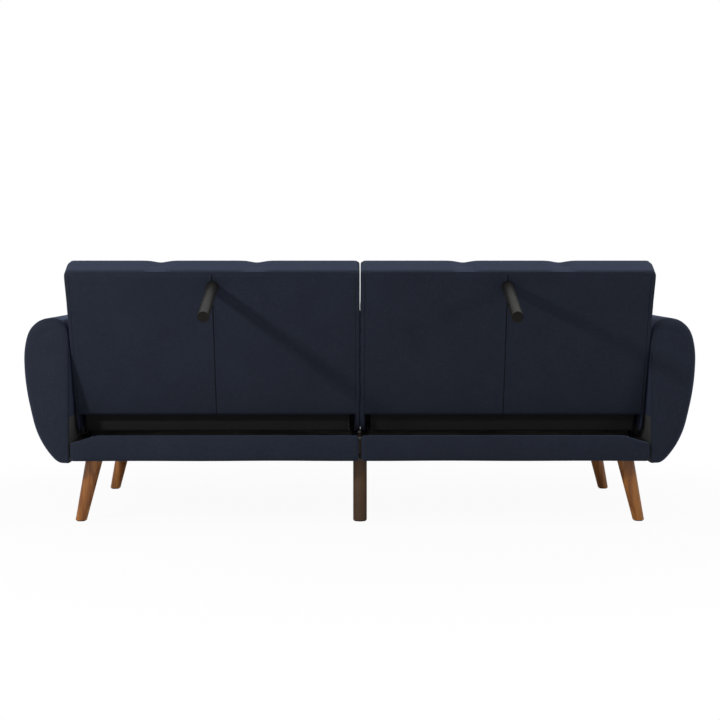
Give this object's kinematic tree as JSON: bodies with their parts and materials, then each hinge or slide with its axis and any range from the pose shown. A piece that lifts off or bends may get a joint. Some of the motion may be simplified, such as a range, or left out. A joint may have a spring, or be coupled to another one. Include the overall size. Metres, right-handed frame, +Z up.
{
  "type": "futon sofa bed",
  "caption": "Split-back click-clack sofa bed with rounded arms, splayed wooden legs and backs that recline flat on their own support legs.",
  "frame": {"origin": "bottom centre of the whole sofa's box, on the floor, midway between the arms", "axes": "+X towards the sitter's left arm, +Y towards the rear of the back, +Z up"},
  "size_m": [2.066, 1.1352, 0.8194],
  "materials": {
    "navy_fabric": "woven linen-look upholstery",
    "black_lining": "black non-woven lining",
    "foam": "polyurethane foam",
    "webbing": "elastic webbing",
    "frame_wood": "plain softwood and plywood",
    "leg_wood": "satin lacquered, honey brown",
    "brown_metal": "satin dark brown powder coat",
    "hinge_steel": "black coated steel",
    "zinc_steel": "zinc plated",
    "black_plastic": "matt black"
  },
  "bodies": {
    "base": {"front_rail_left": "frame_wood", "front_rail_right": "frame_wood", "rear_rail_left": "frame_wood", "rear_rail_right": "frame_wood", "outer_rail_left": "frame_wood", "outer_rail_right": "frame_wood", "inner_rails": "frame_wood", "mid_rails": "frame_wood", "corner_blocks": "frame_wood", "seat_webbing_left": "webbing", "seat_webbing_right": "webbing", "seat_foam_left": "foam", "seat_foam_right": "foam", "seat_cover_left": "navy_fabric", "seat_cover_right": "navy_fabric", "front_rail_covers": "navy_fabric", "rear_rail_covers": "navy_fabric", "dust_covers": "black_lining", "arm_frame_left": "frame_wood", "arm_frame_right": "frame_wood", "arm_foam_left": "foam", "arm_foam_right": "foam", "arm_cover_left": "navy_fabric", "arm_cover_right": "navy_fabric", "arm_bolts": "zinc_steel", "frame_bolts": "zinc_steel", "front_leg_left": "leg_wood", "front_leg_right": "leg_wood", "rear_leg_left": "leg_wood", "rear_leg_right": "leg_wood", "leg_plates": "hinge_steel", "centre_legs": "brown_metal", "centre_plates": "hinge_steel", "leg_glides": "black_plastic", "hinge_base_plates": "hinge_steel", "hinge_pins": "zinc_steel"},
    "back_left": {"back_top_rail_left": "frame_wood", "back_bottom_rail_left": "frame_wood", "back_stiles_left": "frame_wood", "back_webbing_left": "webbing", "back_foam_left": "foam", "back_cover_left": "navy_fabric", "back_panel_left": "navy_fabric", "back_lining_left": "black_lining", "hinge_back_plates_left": "hinge_steel", "support_leg_left": "brown_metal", "support_plate_left": "hinge_steel"},
    "back_right": {"back_top_rail_right": "frame_wood", "back_bottom_rail_right": "frame_wood", "back_stiles_right": "frame_wood", "back_webbing_right": "webbing", "back_foam_right": "foam", "back_cover_right": "navy_fabric", "back_panel_right": "navy_fabric", "back_lining_right": "black_lining", "hinge_back_plates_right": "hinge_steel", "support_leg_right": "brown_metal", "support_plate_right": "hinge_steel"}
  },
  "joints": [
    {"name": "back_left_recline", "type": "hinge", "parent": "base", "child": "back_left", "pos_m": [0.448, 0.08839, 0.37076], "axis": [-1, 0, 0], "range_deg": [-10, 73]},
    {"name": "back_right_recline", "type": "hinge", "parent": "base", "child": "back_right", "pos_m": [-0.448, 0.08839, 0.37076], "axis": [-1, 0, 0], "range_deg": [-10, 73]}
  ]
}
